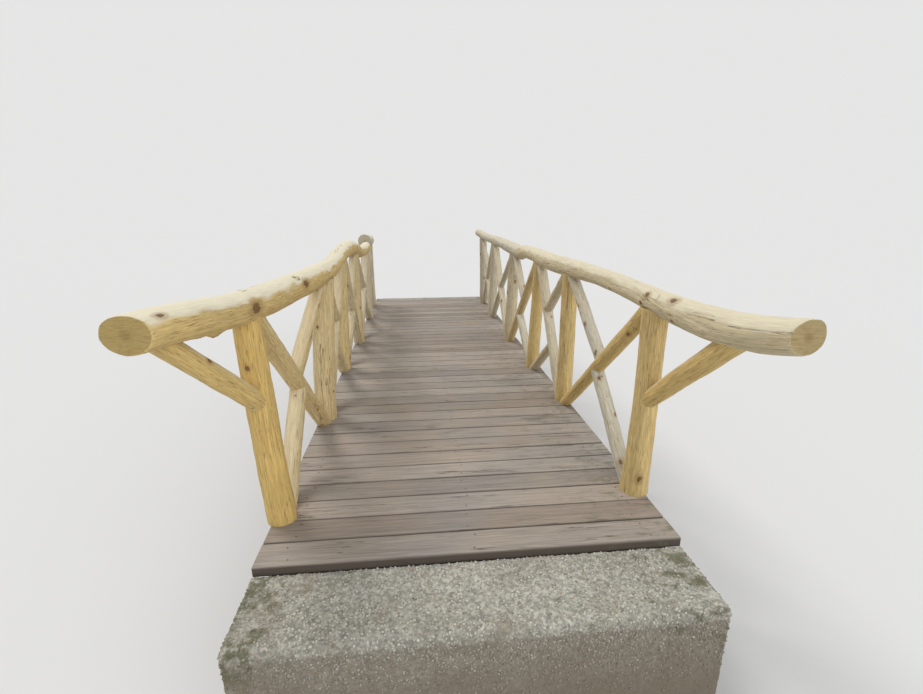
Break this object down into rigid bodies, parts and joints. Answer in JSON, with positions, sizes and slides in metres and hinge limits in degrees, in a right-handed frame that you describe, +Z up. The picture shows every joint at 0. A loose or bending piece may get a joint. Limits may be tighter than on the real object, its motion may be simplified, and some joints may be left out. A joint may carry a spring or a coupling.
{
  "type": "wooden footbridge",
  "caption": "Rustic wooden footbridge with a flat boarded deck between railings of peeled round logs with crossed braces, on concrete abutments.",
  "frame": {"origin": "on the ground under the middle of the deck, at the centre of the whole bridge's footprint", "axes": "+Y along the bridge from the approach end to the far end, +X to the right across the walkway, +Z up"},
  "size_m": [2.1819, 6.875, 1.8365],
  "materials": {
    "peeled_log": "peeled softwood, pale yellow tan, matt",
    "deck_board": "weathered grey brown sawn boards, matt",
    "sawn_timber": "rough sawn timber, darkened, matt",
    "concrete": "concrete with exposed aggregate, rough"
  },
  "bodies": {
    "root": {"near_abutment": "concrete", "far_abutment": "concrete", "left_bearer": "sawn_timber", "middle_bearer": "sawn_timber", "right_bearer": "sawn_timber", "deck_boards": "deck_board", "left_near_rail": "peeled_log", "left_far_rail": "peeled_log", "left_post_1": "peeled_log", "left_post_2": "peeled_log", "left_post_3": "peeled_log", "left_post_4": "peeled_log", "left_post_5": "peeled_log", "left_post_6": "peeled_log", "left_long_brace_1": "peeled_log", "left_short_braces_1": "peeled_log", "left_long_brace_2": "peeled_log", "left_short_braces_2": "peeled_log", "left_long_brace_3": "peeled_log", "left_short_braces_3": "peeled_log", "left_long_brace_4": "peeled_log", "left_short_braces_4": "peeled_log", "left_long_brace_5": "peeled_log", "left_short_braces_5": "peeled_log", "left_raker": "peeled_log", "right_near_rail": "peeled_log", "right_far_rail": "peeled_log", "right_post_1": "peeled_log", "right_post_2": "peeled_log", "right_post_3": "peeled_log", "right_post_4": "peeled_log", "right_post_5": "peeled_log", "right_post_6": "peeled_log", "right_long_brace_1": "peeled_log", "right_short_braces_1": "peeled_log", "right_long_brace_2": "peeled_log", "right_short_braces_2": "peeled_log", "right_long_brace_3": "peeled_log", "right_short_braces_3": "peeled_log", "right_long_brace_4": "peeled_log", "right_short_braces_4": "peeled_log", "right_long_brace_5": "peeled_log", "right_short_braces_5": "peeled_log", "right_raker": "peeled_log"}
  },
  "joints": []
}
